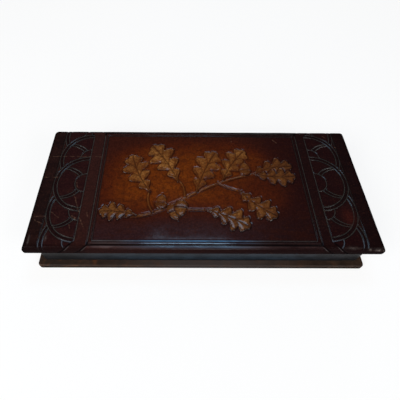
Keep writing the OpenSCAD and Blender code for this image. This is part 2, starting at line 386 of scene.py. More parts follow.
# A sheet of dark wool felt, cut to fit, is glued into the frame of turned-in leather below, so that
# the box can't scratch a desk.
felt = start_block("felt_sheet", felt_low, felt_high)
bpy.ops.object.mode_set(mode="EDIT")
round_edges(0.3 * mm, 2, lambda middle, way: abs(way.z) > 0.9)
round_edges(0.1 * mm, 2, lambda middle, way: middle.z < felt_low.z + 0.05 * mm)
bpy.ops.object.mode_set(mode="OBJECT")
smooth(felt, 40)
material, m, shader = start_finish("dark_felt", Roughness=0.95, Specular_IOR_Level=0.15, Sheen_Weight=0.35,
                                   Sheen_Roughness=0.5)
place = m.object_place()
fluff = m.cloud(place, 0.45, 5, 0.75, 1.2)
clumps = m.cloud(place, 3.5, 4, 0.65)
colour = m.blend(m.step(fluff, 0.3, 0.7), tint(34, 29, 24), tint(66, 57, 48))
m.feed(shader["Base Color"], m.blend(m.step(clumps, 0.4, 0.75, 0, 0.5), colour, tint(48, 40, 32)))
m.feed(shader["Normal"], m.bump(fluff, 0.25, m.bump(clumps, 0.3)))
felt.data.materials.append(material)
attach(felt, "box")
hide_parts("underside_felt")


# Four wooden walls stand on the plate. They are mitred at the corners and glued to each other and
# to the plate.
lengthwise = wood_finish("wall_wood", (196, 160, 114), (166, 124, 80))
crosswise = wood_finish("wall_wood_across", (196, 160, 114), (162, 120, 76), (0, 0, math.radians(90)))
paint_node("front_wall", lengthwise)
paint_node("back_wall", lengthwise)
paint_node("left_wall", crosswise)
paint_node("right_wall", crosswise)


# One strip of near-black leather goes round the walls. Its ends overlap at the back, and its upper
# edge is turned over the wood and slit at the corners. The hinge leaves lie in notches of it.
wall_low, wall_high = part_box("wall_leather")
room_low, room_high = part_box("floor_lining")
leaf_low, leaf_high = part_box("left_hinge_wall_leaf")
hinge_x, hinge_half = -(leaf_low.x + leaf_high.x) / 2, (leaf_high.x - leaf_low.x) / 2 + 0.7 * mm
wall_skin = start_block("wall_skin", wall_low, wall_high)
bpy.ops.object.mode_set(mode="EDIT")
round_edges(3 * mm, 6, lambda middle, way: abs(way.z) > 0.9)
round_edges(1.0 * mm, 4, lambda middle, way: middle.z > wall_high.z - 0.1 * mm)
pick("faces", lambda middle, way: way.z < -0.9)
bpy.ops.mesh.delete(type="FACE")
bpy.ops.object.mode_set(mode="OBJECT")
modify(wall_skin, "SOLIDIFY", thickness=leather_t, offset=-1, use_even_offset=True)
cut_away(wall_skin, start_block("room", (room_low.x, room_low.y, wall_high.z - 3 * mm),
                                (room_high.x, room_high.y, wall_high.z + 3 * mm)))
for side in (-1, 1):
    cut_away(wall_skin, start_block("leaf_notch", (side * hinge_x - hinge_half, room_high.y - 0.1 * mm,
                                                   wall_high.z - 0.9 * mm),
                                    (side * hinge_x + hinge_half, wall_high.y + mm, wall_high.z + mm)))
smooth(wall_skin, 40)
material, m, shader = start_finish("wall_leather", Specular_IOR_Level=0.0, Coat_Weight=0.25, Coat_Roughness=0.3)
place = m.object_place()
x, y, z = m.axes(place)
cloudy = m.cloud(place, 12, 4, 0.6)
# painted reflection: a bluish sheen across the middle of the front wall
painted_window_sheen = m.times(m.step(m.size_of(x), 50, 150, 1, 0), m.step(y, -40, -60, 0, 1))
grain = m.effect(calf_grain, Place=place, Size=0.9)
foot, seam_x, behind = plate_high.z / mm, -46, m.step(y, 50, 51)
seam = m.times(m.step(m.off(x, seam_x), 0.15, 0.45, 1, 0), behind)
m.feed(shader["Base Color"], m.dyed(
    tint(23, 23, 25),
    (m.step(cloudy, 0.35, 0.7), (35, 35, 38)),
    (painted_window_sheen, m.blend(m.step(cloudy, 0.3, 0.7), tint(24, 31, 38), tint(37, 47, 57))),
    # painted shade: darker towards the foot of the walls and towards the left end
    (m.step(z, foot + 1, foot + 6, 0.7, 0), (13, 13, 14)),
    (m.step(x, -70, -145, 0, 0.35), (13, 13, 14)),
    (m.times(rubbed_by_use(m, place, wall_low, wall_high, 2.2), 0.5), (84, 66, 54)),
    (m.times(grain["Crease"], 0.5), (10, 9, 10)),
    (m.times(seam, 0.7), (9, 8, 8))))
m.feed(shader["Roughness"], m.step(cloudy, 0.3, 0.75, 0.36, 0.5))
overlap = m.times(m.step(x, seam_x - 0.4, seam_x), m.step(x, seam_x, seam_x + 16, 1, 0), behind)
rough = m.bump(grain["Height"], 0.08, m.bump(m.cloud(place, 9, 3), 0.4))
m.feed(shader["Normal"], m.bump(overlap, 0.5, rough))
wall_skin.data.materials.append(material)
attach(wall_skin, "box")
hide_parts("wall_leather")


# The tray is lined with cards covered in watered cloth, one on the floor and one on each wall. The
# cloth is turned over their edges, and they are glued in place.
def points_of(mesh):
    p = np.empty(len(mesh.vertices) * 3)
    mesh.vertices.foreach_get("co", p)
    return p.reshape(-1, 3)


def note(mesh, name, values):
    """Keeps one number or vector for each point of the mesh, for its finish."""
    mark = mesh.attributes.new(name, "FLOAT" if values.ndim == 1 else "FLOAT_VECTOR", "POINT")
    mark.data.foreach_set("value" if values.ndim == 1 else "vector", values.astype(np.float32).ravel())


# Fine ribs crossed by the wandering bands that pressing leaves in watered cloth.
m, given, results = start_effect("watered_cloth", ["Water", "Ribs", "Height"], Place=(0, 0, 0))
stretched = m.vector("MULTIPLY", given["Place"], (0.22, 1, 1))
drift = m.cloud(stretched, 15, 3, 0.55, 0.6)
bands = m.times_plus(m.calc("SINE", m.times(drift, 110)), 0.5, 0.5)
bands = m.times(bands, m.step(m.cloud(stretched, 7, 2), 0.35, 0.6, 0.15, 1))
across = m.axes(given["Place"])[1]
ribs = m.times_plus(m.calc("SINE", m.times(across, 2 * math.pi / 0.7)), 0.5, 0.5)
threads = m.times_plus(m.calc("SINE", m.times(m.axes(given["Place"])[0], 2 * math.pi / 0.35)), 0.5, 0.5)
m.feed(results["Water"], bands)
m.feed(results["Ribs"], ribs)
m.feed(results["Height"], m.times_plus(threads, 0.25, m.times(ribs, m.times_plus(bands, -0.6, 1))))
watered_cloth = m.tree


def cloth_finish(name):
    material, m, shader = start_finish(name, Specular_IOR_Level=0.35, Sheen_Weight=0.25, Sheen_Roughness=0.4)
    place = m.scaled(m.node("Attribute", pick=1, attribute_name="cloth"), 1000)
    cloth = m.effect(watered_cloth, Place=place)
    colour = m.blend(cloth["Water"], tint(146, 124, 80), tint(166, 144, 98))
    colour = m.blend(m.times(m.rest(cloth["Ribs"]), 0.4), colour, tint(112, 92, 56))
    aged = m.step(m.cloud(m.object_place(), 30, 4, 0.6), 0.45, 0.75, 0, 0.35)
    m.feed(shader["Base Color"], m.blend(aged, colour, tint(128, 102, 64)))
    m.feed(shader["Roughness"], m.step(cloth["Water"], 0, 1, 0.66, 0.44))
    m.feed(shader["Normal"], m.bump(cloth["Height"], 0.07))
    return material


def line_with_cloth(name, node, material, body, along, across, edge):
    """A card in the place of a CAD node, its edges softened by the cloth that is turned over them."""
    low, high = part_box(node)
    card = start_block(name, low, high)
    bpy.ops.object.mode_set(mode="EDIT")
    round_edges(edge, 4, lambda middle, way: True)
    bpy.ops.object.mode_set(mode="OBJECT")
    smooth(card, 60)
    p = points_of(card.data)
    note(card.data, "cloth", np.stack([p[:, along], p[:, across], 0 * p[:, 0]], 1))
    card.data.materials.append(material)
    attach(card, body)
    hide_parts(node)


tray_cloth = cloth_finish("tray_cloth")
for side, along, across in (("floor", 0, 1), ("front", 0, 2), ("back", 0, 2), ("left", 1, 2), ("right", 1, 2)):
    line_with_cloth(side + "_card", side + "_lining", tray_cloth, "box",
                    along, across, 0.35 * mm)


# The lid is a wooden board with a skin of moulded paste board, which rounds its upper edges and
# backs the raised spray.
paint_node("lid_board", wood_finish("lid_wood", (192, 156, 110), (160, 118, 76)))
material, m, shader = start_finish("paste_board", Roughness=0.85, Specular_IOR_Level=0.2)
place = m.object_place()
pulp = m.cloud(place, 1.1, 5, 0.75, 1.5)
colour = m.blend(m.step(pulp, 0.35, 0.7), tint(150, 130, 100), tint(186, 166, 134))
flecks = m.step(m.cloud(m.vector("MULTIPLY", place, (0.3, 1, 1)), 0.5, 2), 0.66, 0.74, 0, 0.5)
m.feed(shader["Base Color"], m.blend(flecks, colour, tint(104, 82, 58)))
m.feed(shader["Normal"], m.bump(pulp, 0.12))
paint_node("lid_backing", material)


# The lid's leather is one calf skin, rolled over all four edges of the lid and turned in underneath.
# The border lines are pressed with a creaser, and the oak spray is raised from behind and tinted.
lid_low, lid_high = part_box("lid_leather")
card_low, card_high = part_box("lid_lining")
edge_r = 5 * mm            # the rolled upper edge, and the corners seen from above
hem_r = 0.9 * mm           # the lower edge, where the skin turns under
flat_x, flat_y = lid_high.x - edge_r, lid_high.y - edge_r
side_at = edge_r * math.pi / 2
hem_at = side_at + (lid_high.z - edge_r) - (lid_low.z + hem_r)
skin_end = hem_at + hem_r * math.pi / 2

# The border, in millimetres from the lid's middle: three rings to a side, each laid over the next
# outer one, with an eye and curved spokes. A strap runs beside the panel and splays over the roll.
ring_r, ring_step, ring_x = 32, 31, 119
ring_band, eye_r = 3.7, 10.7
spoke_arcs = ((21.3, -2.93, 20.99), (24.4, -4.38, 20.56))
strap_x, frame_x, frame_y, outer_y = 106.7, 103.1, 61.6, 65.6
margin_x, splay_y = 151, 61.5
outer_splay, inner_splay = 0.94, 1.05
aside = 0.8                             # the whole border sits a little to the right,
nearer_in, farther_back = 2.3, 1.8      # and the right rings lie closer in and farther back
within_strap = 3                        # the shift of the right side sets in this far into the strap
no_line = 100                           # added to a distance where that line isn't drawn


def squared(x, y, at_x, at_y):
    """Distance from a corner's centre as its outline counts it. The front corners are pulled
    tight, the back right one less so, and the back left one is a plain round."""
    p = np.where(at_y < 0, 6.0, np.where(at_x < 0, 2.0, 3.2))
    return (np.abs(x) ** p + np.abs(y) ** p) ** (1 / p)


def lay_over_lid(sx, sy, raised):
    """Places points of the flat skin on the lid, each raised by so much along the surface's normal."""
    past_x, past_y = np.maximum(np.abs(sx) - flat_x, 0), np.maximum(np.abs(sy) - flat_y, 0)
    out = np.maximum(past_x, past_y)
    roll = np.clip(out / edge_r, 0, math.pi / 2)
    tuck = np.clip((out - hem_at) / hem_r, 0, math.pi / 2)
    away = edge_r * np.sin(roll) - hem_r * (1 - np.cos(tuck)) + raised * np.sin(roll + tuck)
    height = (lid_high.z - edge_r * (1 - np.cos(roll)) - np.clip(out - side_at, 0, hem_at - side_at)
              - hem_r * np.sin(tuck) + raised * np.cos(roll + tuck))
    share = np.minimum(past_x, past_y) / np.maximum(out, 1e-12)
    turn = np.where(past_x >= past_y, share, 2 - share) * math.pi / 4
    away = away / squared(np.cos(turn), np.sin(turn), sx, sy)
    return np.stack([np.sign(sx) * (np.minimum(np.abs(sx), flat_x) + np.cos(turn) * away),
                     np.sign(sy) * (np.minimum(np.abs(sy), flat_y) + np.sin(turn) * away), height], 1)


def flat_again(p):
    """The place on the flat skin of points of the laid skin."""
    past_x, past_y = np.maximum(np.abs(p[:, 0]) - flat_x, 0), np.maximum(np.abs(p[:, 1]) - flat_y, 0)
    above = p[:, 2] - (lid_high.z - edge_r)
    out = np.where(above > 0, edge_r * np.arctan2(squared(past_x, past_y, p[:, 0], p[:, 1]),
                                                  np.maximum(above, 1e-9)), side_at - above)
    turn = np.arctan2(past_y, np.maximum(past_x, 1e-12)) / (math.pi / 4)
    out_x = np.where(past_x > 1e-9, np.where(turn <= 1, 1, 2 - turn) * out, 0)
    out_y = np.where(past_y > 1e-9, np.where(turn <= 1, turn, 1) * out, 0)
    return (np.sign(p[:, 0]) * (np.minimum(np.abs(p[:, 0]), flat_x) + out_x),
            np.sign(p[:, 1]) * (np.minimum(np.abs(p[:, 1]), flat_y) + out_y))


def to_pressed_line(sx, sy):
    """Distance on the flat skin to the nearest line of the border, all in millimetres."""
    x, y = np.abs(sx - aside), np.abs(sy)
    panel_edge = strap_x + inner_splay * np.maximum(y - outer_y, 0)
    x = np.where((sx > 0) & (x > panel_edge + within_strap), x + nearer_in, x)
    ring_y = np.abs(sy - np.where(sx > 0, farther_back, 0))
    near, covered = np.full(x.shape, float(no_line)), np.zeros(x.shape, bool)
    for k in range(3):
        r = np.hypot(x - ring_x, ring_y - k * ring_step)
        rings = np.minimum(np.minimum(abs(r - ring_r), abs(r - ring_r + ring_band)), abs(r - eye_r))
        spokes = np.minimum(*[abs(np.hypot(x - ring_x - u, np.abs(ring_y - k * ring_step) - v) - arc_r)
                              for u, v, arc_r in spoke_arcs])
        spokes = np.where((r > eye_r) & (r < ring_r - ring_band), spokes, no_line)
        near = np.where(covered, near, np.minimum(near, np.minimum(rings, spokes)))
        covered |= r < ring_r
    strap_edge = ring_x + outer_splay * np.maximum(y - splay_y, 0)
    near = np.where((x < strap_edge) | (x > margin_x), no_line, near)
    for line, holds in ((x - margin_x, True), (x - strap_edge, True), (x - panel_edge, True),
                        (x - frame_x, y < frame_y), (y - frame_y, x < frame_x), (y - outer_y, x < strap_x)):
        near = np.minimum(near, np.where(holds, np.abs(line), no_line))
    return near


def ripple(x, y):
    """The slow unevenness of leather pasted down by hand, from about -1 to 1."""
    return (0.5 * np.sin(x / 7.3 + 1.1) * np.sin(y / 9.1 + 0.4) + 0.3 * np.sin(x / 13.7 + y / 11.3 + 2.0)
            + 0.3 * np.sin(x / 5.1 - y / 17.0 + 0.7) * np.sin(y / 6.3 + 2.6) + 0.25 * np.sin(x / 31 - y / 23))


# The oak spray is drawn in millimetres from the lid's middle. Each shape is pressed over those behind it,
# with a modelled groove round it and a sunk bed beside it, both darkened with painted shade.
class Spray:
    step = 0.25
    x, y = np.arange(-105, 105.1, step), np.arange(-63, 63.1, step)
    px, py = np.meshgrid(x, y)
    relief, tan, dark = np.zeros(px.shape), np.zeros(px.shape), np.zeros(px.shape)


oak_half = [(0.00, 0.012), (0.10, 0.030), (0.17, 0.085), (0.225, 0.105), (0.27, 0.075), (0.30, 0.045),
            (0.35, 0.100), (0.41, 0.170), (0.47, 0.185), (0.515, 0.135), (0.54, 0.080), (0.59, 0.145),
            (0.65, 0.220), (0.715, 0.215), (0.75, 0.145), (0.77, 0.095), (0.82, 0.140), (0.875, 0.160),
            (0.92, 0.120), (0.94, 0.075), (0.98, 0.060), (1.005, 0.0)]
oak_veins = [(0.10, 0.225, 0.085), (0.24, 0.455, 0.155), (0.42, 0.685, 0.185), (0.64, 0.87, 0.130)]
nut_half = [(0.22, 0.0), (0.26, 0.20), (0.40, 0.30), (0.60, 0.31), (0.80, 0.22), (0.93, 0.09),
            (0.97, 0.03), (1.06, 0.0)]
cup_half = [(0.0, 0.0), (0.02, 0.16), (0.14, 0.31), (0.30, 0.37), (0.40, 0.35), (0.42, 0.22), (0.40, 0.0)]


def rounded_ring(points, per=6):
    """A smooth closed outline through the points."""
    p, t, ring = np.array(points), (np.arange(per) / per)[:, None], []
    for i in range(len(p)):
        a, b, c, d = p[i - 1], p[i], p[(i + 1) % len(p)], p[(i + 2) % len(p)]
        ring.append(0.5 * (2 * b + (c - a) * t + (2 * a - 5 * b + 4 * c - d) * t * t
                           + (3 * b - a - 3 * c + d) * t ** 3))
    return np.concatenate(ring)


def along_rib(points, base, angle, length, bend):
    """Places a shape drawn along a straight rib on an arc that starts at base."""
    s, w = np.array(points, float).T * length
    k, t = math.radians(bend) / length + 1e-9, math.radians(angle)
    x = np.sin(k * s) / k - np.sin(k * s) * w
    y = (1 - np.cos(k * s)) / k + np.cos(k * s) * w
    return np.stack([base[0] + x * math.cos(t) - y * math.sin(t),
                     base[1] + x * math.sin(t) + y * math.cos(t)], 1)


def distance_to(px, py, starts, ends):
    best = np.full(px.shape, 1e9)
    for (ax, ay), (bx, by) in zip(starts, ends):
        dx, dy = bx - ax, by - ay
        t = np.clip(((px - ax) * dx + (py - ay) * dy) / (dx * dx + dy * dy + 1e-18), 0, 1)
        best = np.minimum(best, (px - ax - t * dx) ** 2 + (py - ay - t * dy) ** 2)
    return np.sqrt(best)


def is_inside(px, py, ring):
    inside = np.zeros(px.shape, bool)
    for (x0, y0), (x1, y1) in zip(np.roll(ring, 1, 0), ring):
        if y0 != y1:
            inside ^= ((y1 > py) != (y0 > py)) & (px < (x0 - x1) * (py - y1) / (y0 - y1) + x1)
    return inside


def press_shape(ring, height, tone, surface):
    """Raises one shape out of the spray. surface gives its relief and its tooled lines, 0 to 1."""
    (x0, y0), (x1, y1) = ring.min(0) - 12, ring.max(0) + 12
    cut = (slice(*np.searchsorted(Spray.y, (y0, y1))), slice(*np.searchsorted(Spray.x, (x0, x1))))
    px, py = Spray.px[cut], Spray.py[cut]
    inside = is_inside(px, py, ring)
    d = np.where(inside, 1, -1) * distance_to(px, py, ring, np.roll(ring, -1, 0))
    slope_y, slope_x = np.gradient(d, Spray.step)
    # painted shade: the shape's outline, groove and bed are darker towards the lower right
    shaded = 0.7 + 0.3 * np.clip(0.9 * slope_y - 0.45 * slope_x, -1, 1)
    groove = np.exp(-((d + 0.55) / 0.6) ** 2)
    bed = np.where(d < 0, np.exp(np.minimum(d, 0) / 2.5), 0)
    relief, lines = surface(px, py, d)
    body = (1 - np.exp(-np.maximum(d, 0) / 1.1)) * relief
    Spray.relief[cut] = np.where(inside, height * (0.25 + 0.75 * body),
                                 Spray.relief[cut] * (1 - 0.5 * groove) - 0.32 * groove - 0.12 * bed)
    Spray.tan[cut] = np.where(inside, tone * (0.45 + 0.55 * body), Spray.tan[cut] * (1 - 0.6 * groove))
    Spray.dark[cut] = np.where(
        inside, np.maximum(lines, 0.8 * np.exp(-np.maximum(d, 0) / 0.6) * shaded),
        np.maximum(Spray.dark[cut] * (1 - bed), np.maximum(groove, 0.35 * bed) * shaded))


def oak_leaf(base, angle, length, bend, wide=1.2, tone=1.0, height=1.0):
    half = [(s, w * wide) for s, w in oak_half]
    place = (base, angle, length, bend)
    rib = along_rib([(s, 0) for s in np.linspace(-0.02, 0.97, 14)], *place)
    veins = [along_rib([(s0 + (s1 - s0) * q, side * w * wide * q ** 1.15) for q in np.linspace(0, 0.92, 5)],
                       *place) for s0, s1, w in oak_veins for side in (1, -1)]

    def blade(px, py, d):
        to_rib = distance_to(px, py, rib[:-1], rib[1:])
        to_vein = distance_to(px, py, np.concatenate([v[:-1] for v in veins]),
                              np.concatenate([v[1:] for v in veins]))
        puffed = 1 - np.exp(-(np.minimum(to_rib, to_vein) / 1.5) ** 2)
        return 0.45 + 0.55 * puffed, np.maximum(0.9 * np.exp(-(to_rib / 0.45) ** 2),
                                                0.7 * np.exp(-(to_vein / 0.38) ** 2))

    press_shape(along_rib(rounded_ring(half + [(s, -w) for s, w in half[-2::-1]]), *place), height, tone, blade)


def acorn(base, angle, length, tone=1.0):
    along = (math.cos(math.radians(angle)), math.sin(math.radians(angle)))
    for half, scaly in ((nut_half, False), (cup_half, True)):
        def skin(px, py, d):
            s = ((px - base[0]) * along[0] + (py - base[1]) * along[1]) / length
            w = ((py - base[1]) * along[0] - (px - base[0]) * along[1]) / length
            dome = np.sqrt(np.clip(1 - (w / 0.38) ** 2, 0.05, 1))
            if scaly:
                scales = np.abs(np.sin((s + w) * 24) * np.sin((s - w) * 24))
                return dome * (0.75 + 0.25 * scales), 0.75 * np.exp(-(scales / 0.22) ** 2)
            return dome, 0.22 * np.exp(-((abs((w * 12 / dome) % 1 - 0.5)) / 0.12) ** 2)

        ring = rounded_ring(half + [(s, -w) for s, w in half[-2:0:-1]])
        press_shape(along_rib(ring, base, angle, length, 0), 1.1 if scaly else 1.0,
                    tone * (0.8 if scaly else 1), skin)


def twig(a, b, c, d, thick, thin, tone=0.75):
    t = np.linspace(0, 1, 28)[:, None]
    line = ((1 - t) ** 3 * np.array(a) + 3 * (1 - t) ** 2 * t * np.array(b)
            + 3 * (1 - t) * t * t * np.array(c) + t ** 3 * np.array(d))
    run = np.gradient(line, axis=0)
    out = np.stack([-run[:, 1], run[:, 0]], 1) / np.linalg.norm(run, axis=1)[:, None]
    out *= (thick + (thin - thick) * t) / 2
    press_shape(np.concatenate([line + out, (line - out)[::-1]]), 0.8, tone,
                lambda px, py, d: (np.clip(d / (thick * 0.45), 0, 1) ** 0.5, np.zeros(d.shape)))


twig((-78, -36), (-36, -44), (-22, -6), (56, 12), 3.2, 1.8)
twig((-48, -33), (-54, -24), (-55, -16), (-52, -8), 2.0, 1.3)
twig((-17, -16), (-17, -6), (-20, 0), (-24, 4), 2.0, 1.3)
twig((-32, -26), (-16, -31), (-2, -31), (6, -30), 2.0, 1.3)
twig((16, 1), (24, -5), (32, -8), (40, -9), 1.8, 1.2)
oak_leaf((-64, -36), 163, 36, 22, tone=0.7)
oak_leaf((-52, -10), 128, 50, -26, wide=1.25, tone=0.85)
oak_leaf((-5, -10), 76, 54, -20, tone=0.75, height=0.9)
oak_leaf((-24, 2), 112, 54, 20, wide=1.25)
oak_leaf((54, 11), 30, 44, -34, tone=0.7)
oak_leaf((56, 11), -14, 42, 22, wide=1.15, tone=0.9)
oak_leaf((38, -9), -52, 44, 26, tone=0.7)
oak_leaf((4, -30), -14, 44, -20, tone=0.85)
oak_leaf((22, 4), 66, 46, -22, wide=1.25)
acorn((-30, -24), -70, 18, tone=0.9)
acorn((-20, -20), -96, 17)
acorn((-41, -29), 84, 16, tone=0.9)
acorn((46, 10), 88, 16)


# The raised work gets painted light and shade: lighter on its upper left sides, darker and browner towards the
# lower right.
fall_y, fall_x = np.gradient(Spray.relief, Spray.step)
light = np.clip(0.75 * fall_x - 1.0 * fall_y, -0.6, 0.6)
Spray.tan = np.clip(Spray.tan * (0.92 + 0.75 * light), 0, 1.2)
Spray.dark = np.clip(Spray.dark + 0.35 * np.clip(-light, 0, 1) * (Spray.tan > 0.05), 0, 1)


def of_spray(values, sx, sy):
    """What the spray has at places of the flat skin, in millimetres."""
    i = np.clip((sy - Spray.y[0]) / Spray.step, 0, len(Spray.y) - 1.001)
    j = np.clip((sx - Spray.x[0]) / Spray.step, 0, len(Spray.x) - 1.001)
    i0, j0 = i.astype(int), j.astype(int)
    fi, fj = i - i0, j - j0
    mixed = ((values[i0, j0] * (1 - fj) + values[i0, j0 + 1] * fj) * (1 - fi)
             + (values[i0 + 1, j0] * (1 - fj) + values[i0 + 1, j0 + 1] * fj) * fi)
    return np.where((np.abs(sx) < frame_x) & (np.abs(sy) < frame_y), mixed, 0)


line_depth, line_half = 0.42, 0.5
swell, slope = 0.12, 1.6                # the leather rises between the lines, over so wide a slope
top_sunk, roll_sunk, panel_sunk = 0.35, 0.1, 0.4
spray_height, ripple_height = 0.66, 0.07


def worked_height(sx, sy):
    """How far the worked surface lies above or below the skin's plain outer form."""
    x, y = sx / mm, sy / mm
    near = to_pressed_line(x, y)
    lines = -line_depth * np.exp(-(near / line_half) ** 2) + swell * (1 - np.exp(-(near / slope) ** 2))
    in_panel = np.minimum(frame_x - np.abs(x - aside), frame_y - np.abs(y))
    over = np.maximum(np.abs(sx) - flat_x, np.abs(sy) - flat_y)
    sunk = top_sunk + (roll_sunk - top_sunk) * np.clip(over / side_at, 0, 1)
    sunk += panel_sunk * np.clip(in_panel / slope, 0, 1)
    calm = 1 - np.clip((over - hem_at) / mm + 1, 0, 1)
    worked = calm * (lines + ripple_height * ripple(x, y)) + spray_height * of_spray(Spray.relief, x, y)
    return (worked - sunk) * mm * (over < hem_at)


bpy.ops.object.select_all(action="DESELECT")
columns, rows = ((840, 380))
bpy.ops.mesh.primitive_grid_add(x_subdivisions=columns, y_subdivisions=rows, size=1)
lid_skin = bpy.context.active_object
lid_skin.name = lid_skin.data.name = "lid_skin"
unit = points_of(lid_skin.data)
sx, sy = unit[:, 0] * 2 * (flat_x + skin_end), unit[:, 1] * 2 * (flat_y + skin_end)
lid_skin.data.vertices.foreach_set("co", lay_over_lid(sx, sy, worked_height(sx, sy)).ravel())
lid_skin.data.update()
modify(lid_skin, "DECIMATE", ratio=0.26)

# The open rim is turned in below as far as the lining card, then led back up under the worked face
# as the skin's inner side.
bpy.ops.object.mode_set(mode="EDIT")
bpy.ops.mesh.select_mode(type="EDGE")
bpy.ops.mesh.select_all(action="DESELECT")
bpy.ops.mesh.select_non_manifold()
mesh = bmesh.from_edit_mesh(lid_skin.data)
rim = mesh.verts.layers.float_vector.new("rim")
for v in mesh.verts:
    v[rim] = v.co if v.select else (0, 0, 0)


def lead_rim(height, away=None):
    """Extrudes the open rim to the card's edge, or to a stand-off from the lid's corner centres."""
    bpy.ops.mesh.extrude_edges_move()
    mesh = bmesh.from_edit_mesh(lid_skin.data)
    rim = mesh.verts.layers.float_vector["rim"]
    for v in mesh.verts:
        if v.select:
            start = v[rim]
            if away is None:
                v.co = (max(card_low.x, min(card_high.x, start.x)),
                        max(card_low.y, min(card_high.y, start.y)), height)
                continue
            centre = Vector((max(-flat_x, min(flat_x, start.x)), max(-flat_y, min(flat_y, start.y)), start.z))
            out = start - centre
            v.co = centre + out * (away / squared(out.x, out.y, start.x, start.y))
            v.co.z = height
    bmesh.update_edit_mesh(lid_skin.data)


inner_r, inner_top = edge_r - leather_t, lid_high.z - 1.6 * mm
lead_rim(lid_low.z)
lead_rim(lid_low.z + leather_t)
lead_rim(lid_low.z + leather_t, inner_r)
for turn in (0, 30, 60):
    lead_rim(inner_top - inner_r * (1 - math.sin(math.radians(turn))), inner_r * math.cos(math.radians(turn)))
bpy.ops.mesh.edge_face_add()
bpy.ops.mesh.select_all(action="SELECT")
bpy.ops.mesh.remove_doubles(threshold=0.00001)
bpy.ops.mesh.normals_make_consistent(inside=False)
bpy.ops.object.mode_set(mode="OBJECT")
# At each hinge the turn-in is cut back for the lid leaf, and hollowed for the knuckles.
axis_y, axis_z, knuckle_room = 64.9 * mm, 41.85 * mm, 1.95 * mm
notch_front, notch_back = 57.0 * mm, axis_y + knuckle_room
for side in (-1, 1):
    bpy.ops.object.select_all(action="DESELECT")
    bpy.ops.mesh.primitive_cylinder_add(vertices=48, radius=knuckle_room, depth=2 * hinge_half,
                                        location=(side * hinge_x, axis_y, axis_z), rotation=(0, math.pi / 2, 0))
    trough = bpy.context.active_object
    notch = start_block("notch", (side * hinge_x - hinge_half, notch_front, lid_low.z - mm),
                        (side * hinge_x + hinge_half, notch_back, lid_low.z + leather_t + 0.01 * mm))
    for cutter in (notch, trough):
        modify(lid_skin, "BOOLEAN", object=cutter, operation="DIFFERENCE", solver="MANIFOLD")
        bpy.data.objects.remove(cutter)
lid_skin.data.materials.clear()
smooth(lid_skin, 60)
sx, sy = flat_again(points_of(lid_skin.data))
note(lid_skin.data, "skin", np.stack([sx, sy, 0 * sx], 1))
note(lid_skin.data, "tan", of_spray(Spray.tan, sx / mm, sy / mm))
note(lid_skin.data, "dark", of_spray(Spray.dark, sx / mm, sy / mm))

# One ring of the border: how near its lines are, and where it is dyed dark between two lines.
m, given, results = start_effect("border_ring", ["Near", "Between", "Inside"], Across=0.0, Along=0.0)
u, v = given["Across"], given["Along"]
r, band_r = m.length(m.node("CombineXYZ", u, v, 0.0)), ring_r - ring_band
outer_arc, inner_arc = [
    (m.length(m.node("CombineXYZ", m.minus(u, arc_u), m.minus(m.size_of(v), arc_v), 0.0)), arc_r)
    for arc_u, arc_v, arc_r in spoke_arcs]
rings = m.least(m.off(r, ring_r), m.off(r, band_r), m.off(r, eye_r))
spoked = m.within(r, eye_r, band_r)
spokes = m.times_plus(m.rest(spoked), no_line, m.least(m.off(*outer_arc), m.off(*inner_arc)))
spoke_band = m.times(m.short_of(*outer_arc), m.past(*inner_arc))
m.feed(results["Near"], m.least(rings, spokes))
m.feed(results["Between"], m.most(m.within(r, band_r, ring_r), m.times(spoked, spoke_band)))
m.feed(results["Inside"], m.short_of(r, ring_r))
border_ring = m.tree

# A soft-edged patch, for dye rubbed in with a pad and for painted highlights.
m, given, results = start_effect("dye_and_highlight_patch", ["Amount"], Place=(0, 0, 0), Middle=(0, 0, 0), Size=(30, 30, 30))
far = m.length(m.vector("DIVIDE", m.vector("SUBTRACT", given["Place"], given["Middle"]), given["Size"]))
m.feed(results["Amount"], m.calc("EXPONENT", m.times(far, far, -1)))
dye_and_highlight_patch = m.tree


def soft_patch(m, place, x, y, wide, deep):
    return m.effect(dye_and_highlight_patch, Place=place, Middle=(x, y, 0), Size=(wide, deep, 60))["Amount"]


material, m, shader = start_finish("tooled_calf", Specular_IOR_Level=0.0, Coat_Roughness=0.11)
skin = m.scaled(m.node("Attribute", pick=1, attribute_name="skin"), 1000)
tan = m.node("Attribute", pick=2, attribute_name="tan")
dark = m.node("Attribute", pick=2, attribute_name="dark")
place = m.object_place()
x, y = m.axes(skin)[:2]

# How near each point is to a line of the border, as to_pressed_line has it for the relief.
side_x, ax, ay = m.size_of(x), m.off(x, aside), m.size_of(y)
at_right = m.past(x, 0)
panel_edge = m.times_plus(m.most(m.minus(ay, outer_y), 0), inner_splay, strap_x)
strap_edge = m.times_plus(m.most(m.minus(ay, splay_y), 0), outer_splay, ring_x)
past_strap = m.times(at_right, m.past(ax, m.calc("ADD", panel_edge, within_strap)))
ax = m.times_plus(past_strap, nearer_in, ax)
ring_y = m.off(y, m.times(at_right, farther_back))
first, second, third = (m.effect(border_ring, Across=m.minus(ax, ring_x), Along=m.minus(ring_y, k * ring_step))
                        for k in range(3))
hides_third = m.most(first["Inside"], second["Inside"])
near = m.least(first["Near"], m.times_plus(first["Inside"], no_line, second["Near"]),
               m.times_plus(hides_third, no_line, third["Near"]))
in_border = m.within(ax, strap_edge, margin_x)
between = m.most(first["Between"], m.times(second["Between"], m.rest(first["Inside"])),
                 m.times(third["Between"], m.rest(hides_third)))
between = m.times(between, in_border)
in_ring = m.times(m.most(hides_third, third["Inside"]), in_border)
strap_lines = m.least(m.off(ax, strap_edge), m.off(ax, panel_edge))
near = m.least(m.times_plus(m.rest(in_border), no_line, near), strap_lines)
inside_x, inside_y = m.short_of(ax, frame_x), m.short_of(ay, frame_y)
in_panel = m.times(inside_x, inside_y)
